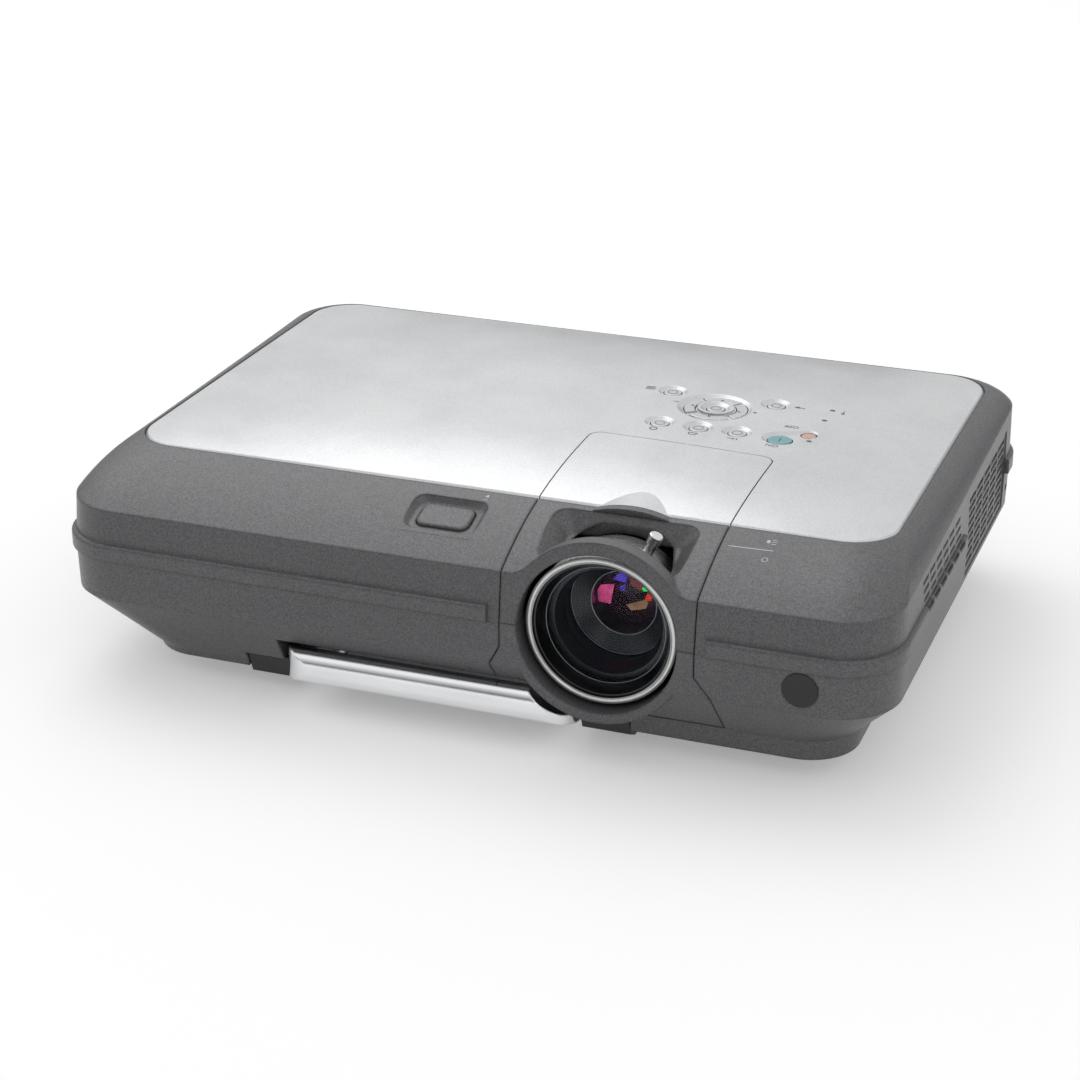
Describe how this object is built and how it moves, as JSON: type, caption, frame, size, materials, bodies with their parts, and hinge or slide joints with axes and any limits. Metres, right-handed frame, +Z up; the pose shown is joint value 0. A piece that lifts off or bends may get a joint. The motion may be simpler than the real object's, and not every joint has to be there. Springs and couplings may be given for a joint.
{
  "type": "video projector",
  "caption": "Desktop video projector with a focus and zoom lens, lift-off lens cover, key pad, carrying handle, adjustable feet, cooling fans and a rear terminal panel.",
  "frame": {"origin": "centre of the base of the bounding box, on the table plane that the feet stand on", "axes": "+X to the right as seen from the lens side, the lens looks along -Y, +Z up"},
  "size_m": [0.384, 0.282, 0.1036],
  "materials": {
    "graphite_shell": "dark metallic speckle, satin",
    "silver_panel": "silver paint, satin",
    "black_plastic": "satin",
    "key_silver": "pearl silver",
    "key_on": "translucent blue-green",
    "key_off": "translucent orange-pink",
    "light_lens": "clear",
    "handle_metal": "polished",
    "steel": "plain",
    "glass": "coated",
    "lens_black": "semi-gloss black",
    "ring_silver": "satin",
    "circuit": "solder mask",
    "foam": "open foam",
    "magnesium": "cast",
    "rubber_foot": "matte"
  },
  "bodies": {
    "casing": {"ac_inlet": "black_plastic", "air_filter": "foam", "exhaust_fan_frame": "black_plastic", "foot_housing": "black_plastic", "handle_brackets": "black_plastic", "handle_pins": "steel", "intake_fan_frame": "black_plastic", "ir_window": "black_plastic", "key_board": "circuit", "lamp_bulb": "glass", "lamp_cover": "graphite_shell", "lamp_housing": "steel", "lcd_panels": "glass", "lens_barrel": "lens_black", "lens_front_panel": "graphite_shell", "lower_case": "graphite_shell", "main_board": "circuit", "optical_housing": "magnesium", "power_supply": "circuit", "prism_block": "glass", "rear_panel": "black_plastic", "screws": "steel", "side_grille": "graphite_shell", "signal_sockets": "steel", "speaker": "black_plastic", "status_leds": "light_lens", "top_panel": "silver_panel", "upper_case": "graphite_shell"},
    "lens_cover": {"lens_cover": "graphite_shell", "lens_cover_plate": "silver_panel"},
    "handle": {"carrying_handle": "handle_metal"},
    "height_button": {"height_button": "graphite_shell"},
    "front_foot": {"front_foot": "black_plastic"},
    "left_foot_carrier": {"left_foot_clip": "steel"},
    "left_foot": {"left_foot": "rubber_foot"},
    "right_foot_carrier": {"right_foot_clip": "steel"},
    "right_foot": {"right_foot": "rubber_foot"},
    "focus_ring": {"focus_ring": "lens_black"},
    "front_lens_group": {"front_lens_cell": "lens_black", "front_lens": "glass"},
    "zoom_ring": {"zoom_ring": "ring_silver", "zoom_knob": "black_plastic"},
    "zoom_lens_group": {"zoom_lens_cell": "lens_black", "zoom_lens": "glass"},
    "exhaust_rotor": {"exhaust_fan_rotor": "black_plastic"},
    "intake_rotor": {"intake_fan_rotor": "black_plastic"},
    "rocker": {"power_switch": "black_plastic"},
    "filter_door": {"filter_door": "graphite_shell"},
    "menu_key": {"menu_key": "key_silver"},
    "undo_key": {"undo_key": "key_silver"},
    "auto_key": {"auto_key": "key_silver"},
    "keystone_key": {"keystone_key": "key_silver"},
    "input_key": {"input_key": "key_silver"},
    "enter_key": {"enter_key": "key_silver"},
    "right_key": {"right_key": "key_silver"},
    "up_key": {"up_key": "key_silver"},
    "left_key": {"left_key": "key_silver"},
    "down_key": {"down_key": "key_silver"},
    "on_key": {"on_key": "key_on"},
    "off_key": {"off_key": "key_off"}
  },
  "joints": [
    {"name": "cover_lift", "type": "slide", "parent": "casing", "child": "lens_cover", "axis": [0, 0, 1], "range_m": [0, 0.06]},
    {"name": "handle_swing", "type": "hinge", "parent": "casing", "child": "handle", "pos_m": [0, -0.098, 0.013], "axis": [1, 0, 0], "range_deg": [0, 90]},
    {"name": "height_button_press", "type": "slide", "parent": "casing", "child": "height_button", "axis": [0, 0.2485, -0.9686], "range_m": [0, 0.003], "stiffness_N_per_m": 400, "springref_m": -0.002},
    {"name": "front_foot_drop", "type": "slide", "parent": "casing", "child": "front_foot", "axis": [0, 0, -1], "range_m": [0, 0.04]},
    {"name": "left_foot_lower", "type": "slide", "parent": "casing", "child": "left_foot_carrier", "axis": [0, 0, -1], "range_m": [0, 0.008]},
    {"name": "left_foot_turn", "type": "hinge", "parent": "left_foot_carrier", "child": "left_foot", "pos_m": [-0.13, 0.111, 0.02], "axis": [0, 0, 1], "range_deg": [0, 1440]},
    {"name": "right_foot_lower", "type": "slide", "parent": "casing", "child": "right_foot_carrier", "axis": [0, 0, -1], "range_m": [0, 0.008]},
    {"name": "right_foot_turn", "type": "hinge", "parent": "right_foot_carrier", "child": "right_foot", "pos_m": [0.146, 0.111, 0.02], "axis": [0, 0, 1], "range_deg": [0, 1440]},
    {"name": "focus_turn", "type": "hinge", "parent": "casing", "child": "focus_ring", "pos_m": [0.0657, -0.1254, 0.06], "axis": [0, 1, 0], "range_deg": [-50, 50]},
    {"name": "focus_shift", "type": "slide", "parent": "casing", "child": "front_lens_group", "axis": [0, 1, 0], "range_m": [-0.001, 0.001]},
    {"name": "zoom_turn", "type": "hinge", "parent": "casing", "child": "zoom_ring", "pos_m": [0.0657, -0.1093, 0.06], "axis": [0, 1, 0], "range_deg": [-54, 5.5]},
    {"name": "zoom_shift", "type": "slide", "parent": "casing", "child": "zoom_lens_group", "axis": [0, 1, 0], "range_m": [-0.007, 0.0007]},
    {"name": "exhaust_spin", "type": "hinge", "parent": "casing", "child": "exhaust_rotor", "pos_m": [0.1755, 0.058, 0.0605], "axis": [1, 0, 0], "continuous": true},
    {"name": "intake_spin", "type": "hinge", "parent": "casing", "child": "intake_rotor", "pos_m": [-0.1743, -0.01, 0.062], "axis": [1, 0, 0], "continuous": true},
    {"name": "rocker_tilt", "type": "hinge", "parent": "casing", "child": "rocker", "pos_m": [-0.124, 0.1312, 0.044], "axis": [1, 0, 0], "range_deg": [-16, 0]},
    {"name": "filter_door_swing", "type": "hinge", "parent": "casing", "child": "filter_door", "pos_m": [-0.18855, -0.01, 0.04525], "axis": [0, 1, 0], "range_deg": [-90, 0]},
    {"name": "menu_key_press", "type": "slide", "parent": "casing", "child": "menu_key", "axis": [0, 0, -1], "range_m": [0, 0.0008], "stiffness_N_per_m": 600, "springref_m": -0.001},
    {"name": "undo_key_press", "type": "slide", "parent": "casing", "child": "undo_key", "axis": [0, 0, -1], "range_m": [0, 0.0008], "stiffness_N_per_m": 600, "springref_m": -0.001},
    {"name": "auto_key_press", "type": "slide", "parent": "casing", "child": "auto_key", "axis": [0, 0, -1], "range_m": [0, 0.0008], "stiffness_N_per_m": 600, "springref_m": -0.001},
    {"name": "keystone_key_press", "type": "slide", "parent": "casing", "child": "keystone_key", "axis": [0, 0, -1], "range_m": [0, 0.0008], "stiffness_N_per_m": 600, "springref_m": -0.001},
    {"name": "input_key_press", "type": "slide", "parent": "casing", "child": "input_key", "axis": [0, 0, -1], "range_m": [0, 0.0008], "stiffness_N_per_m": 600, "springref_m": -0.001},
    {"name": "enter_key_press", "type": "slide", "parent": "casing", "child": "enter_key", "axis": [0, 0, -1], "range_m": [0, 0.0008], "stiffness_N_per_m": 600, "springref_m": -0.001},
    {"name": "right_key_press", "type": "slide", "parent": "casing", "child": "right_key", "axis": [0, 0, -1], "range_m": [0, 0.0008], "stiffness_N_per_m": 600, "springref_m": -0.001},
    {"name": "up_key_press", "type": "slide", "parent": "casing", "child": "up_key", "axis": [0, 0, -1], "range_m": [0, 0.0008], "stiffness_N_per_m": 600, "springref_m": -0.001},
    {"name": "left_key_press", "type": "slide", "parent": "casing", "child": "left_key", "axis": [0, 0, -1], "range_m": [0, 0.0008], "stiffness_N_per_m": 600, "springref_m": -0.001},
    {"name": "down_key_press", "type": "slide", "parent": "casing", "child": "down_key", "axis": [0, 0, -1], "range_m": [0, 0.0008], "stiffness_N_per_m": 600, "springref_m": -0.001},
    {"name": "on_key_press", "type": "slide", "parent": "casing", "child": "on_key", "axis": [0, 0, -1], "range_m": [0, 0.0008], "stiffness_N_per_m": 600, "springref_m": -0.001},
    {"name": "off_key_press", "type": "slide", "parent": "casing", "child": "off_key", "axis": [0, 0, -1], "range_m": [0, 0.0008], "stiffness_N_per_m": 600, "springref_m": -0.001}
  ],
  "couplings": [
    {"joint": "focus_shift", "follows": "focus_turn", "m_per_rad": 0.0011345},
    {"joint": "zoom_turn", "follows": "zoom_shift", "rad_per_m": 133.29},
    {"joint": "left_foot_turn", "follows": "left_foot_lower", "rad_per_m": 3138.5},
    {"joint": "right_foot_turn", "follows": "right_foot_lower", "rad_per_m": 3138.5}
  ]
}
